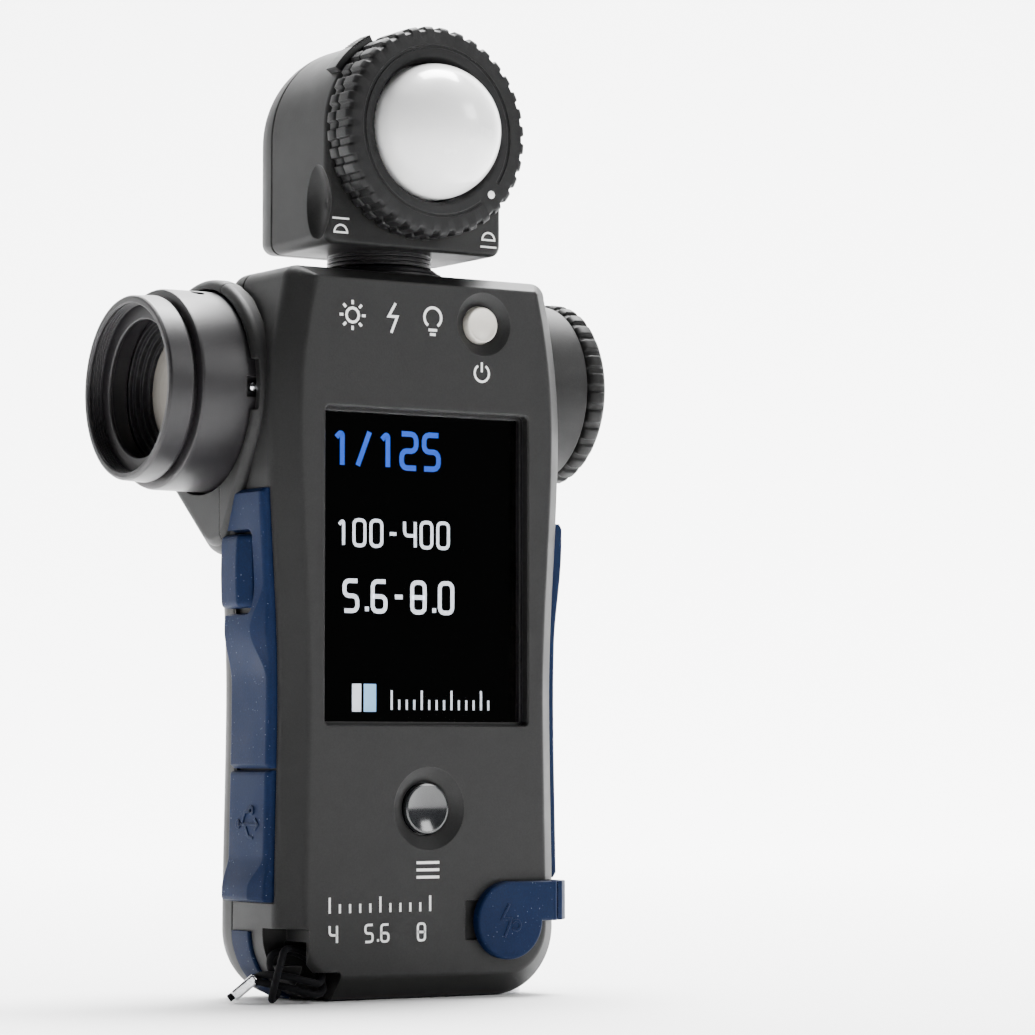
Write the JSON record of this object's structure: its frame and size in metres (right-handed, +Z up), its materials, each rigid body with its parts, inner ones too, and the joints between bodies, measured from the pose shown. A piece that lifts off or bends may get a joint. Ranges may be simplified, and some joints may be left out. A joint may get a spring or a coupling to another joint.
{
  "type": "handheld light meter",
  "caption": "Handheld exposure meter with a touch display, a swivelling head whose white dome turns in and out, a spot finder across the body, blue side grips and a wrist cord.",
  "frame": {"origin": "middle of the flat base that the meter stands on", "axes": "+Z up along the body, -Y out of the display, +X to the right as one faces the display"},
  "size_m": [0.094, 0.0597, 0.1761],
  "materials": {
    "charcoal_plastic": "fine matt grain",
    "navy_rubber": "soft matt with fine specks",
    "black_plastic": "matt",
    "black_rubber": "matt",
    "ring_plastic": "matt, grained face",
    "black_metal": "satin black anodised",
    "steel": "satin",
    "polished_steel": "polished",
    "brass": "satin",
    "board": "solder mask",
    "cells": "satin sleeve",
    "screen_glass": "high gloss",
    "optical_glass": "coated",
    "ivory_plastic": "satin",
    "grey_plastic": "high gloss",
    "white_plastic": "glossy translucent",
    "braid": "braided"
  },
  "bodies": {
    "body": {"front_case": "charcoal_plastic", "rear_case": "charcoal_plastic", "eyepiece_housing": "charcoal_plastic", "left_grip": "navy_rubber", "right_grip": "navy_rubber", "corner_guard": "navy_rubber", "sync_strap": "navy_rubber", "display_bezel": "black_plastic", "battery_tray": "black_plastic", "module_bay": "black_plastic", "neck_flange": "black_plastic", "lens_baffle": "black_plastic", "case_gasket": "black_rubber", "objective_barrel": "black_metal", "filter_ring": "black_metal", "objective_tube": "black_metal", "eyepiece_tube": "black_metal", "case_screws": "steel", "barrel_screws": "steel", "battery_contacts": "steel", "tripod_socket": "steel", "usb_socket": "steel", "key_switches": "steel", "spot_sensor": "steel", "cord_ferrule": "polished_steel", "sync_terminal": "brass", "module_connector": "brass", "main_board": "board", "battery_cells": "cells", "display_window": "screen_glass", "lcd_panel": "screen_glass", "objective_lens": "optical_glass", "beam_splitter": "optical_glass", "strap_cord": "braid"},
    "power_button": {"power_button": "ivory_plastic"},
    "menu_button": {"menu_button": "grey_plastic"},
    "measuring_button": {"measuring_button": "navy_rubber"},
    "usb_cap": {"usb_cap": "navy_rubber"},
    "sync_cap": {"sync_cap": "navy_rubber"},
    "battery_door": {"battery_door": "charcoal_plastic"},
    "module_cover": {"module_cover": "charcoal_plastic"},
    "dioptre_ring": {"dioptre_ring": "ring_plastic"},
    "eyepiece": {"eyepiece_cell": "black_plastic", "eyepiece_lens": "optical_glass"},
    "head": {"head_front": "charcoal_plastic", "head_rear": "charcoal_plastic", "head_screws": "steel", "head_tab": "black_plastic", "neck_post": "black_metal", "neck_clip": "steel", "sensor_board": "board", "light_sensor": "steel", "sensor_filter": "optical_glass"},
    "retract_ring": {"retract_ring": "ring_plastic", "index_dot": "white_plastic"},
    "dome": {"dome": "white_plastic", "dome_carrier": "black_plastic"}
  },
  "joints": [
    {"name": "head_swivel", "type": "hinge", "parent": "body", "child": "head", "pos_m": [0, 0.0035, 0.1315], "axis": [0, 0, 1], "range_deg": [-90, 180]},
    {"name": "ring_turn", "type": "hinge", "parent": "head", "child": "retract_ring", "pos_m": [0, -0.0133, 0.15695], "axis": [0, 1, 0], "range_deg": [0, 90]},
    {"name": "dome_slide", "type": "slide", "parent": "head", "child": "dome", "axis": [0, 1, 0], "range_m": [0, 0.007]},
    {"name": "power_press", "type": "slide", "parent": "body", "child": "power_button", "axis": [0, 1, 0], "range_m": [0, 0.0006], "stiffness_N_per_m": 800, "springref_m": -0.0003},
    {"name": "menu_press", "type": "slide", "parent": "body", "child": "menu_button", "axis": [0, 1, 0], "range_m": [0, 0.0006], "stiffness_N_per_m": 800, "springref_m": -0.0003},
    {"name": "measuring_press", "type": "slide", "parent": "body", "child": "measuring_button", "axis": [1, 0, 0], "range_m": [0, 0.0007], "stiffness_N_per_m": 800, "springref_m": -0.0003},
    {"name": "usb_cap_hinge", "type": "hinge", "parent": "body", "child": "usb_cap", "pos_m": [-0.02972, -0.003, 0.0399], "axis": [0, 1, 0], "range_deg": [0, 95]},
    {"name": "sync_cap_hinge", "type": "hinge", "parent": "body", "child": "sync_cap", "pos_m": [0.0263, -0.0149, 0.0172], "axis": [0, 0, 1], "range_deg": [0, 110]},
    {"name": "battery_door_hinge", "type": "hinge", "parent": "body", "child": "battery_door", "pos_m": [0, 0.0131, 0.0104], "axis": [-1, 0, 0], "range_deg": [0, 95]},
    {"name": "module_cover_hinge", "type": "hinge", "parent": "body", "child": "module_cover", "pos_m": [0, 0.0131, 0.0649], "axis": [-1, 0, 0], "range_deg": [0, 95]},
    {"name": "dioptre_turn", "type": "hinge", "parent": "body", "child": "dioptre_ring", "pos_m": [0.0435, 0.012, 0.1132], "axis": [1, 0, 0], "range_deg": [-60, 60]},
    {"name": "eyepiece_slide", "type": "slide", "parent": "body", "child": "eyepiece", "axis": [1, 0, 0], "range_m": [-0.0015, 0.0015]}
  ],
  "couplings": [
    {"joint": "ring_turn", "follows": "dome_slide", "rad_per_m": 224.3},
    {"joint": "dioptre_turn", "follows": "eyepiece_slide", "rad_per_m": 698}
  ]
}
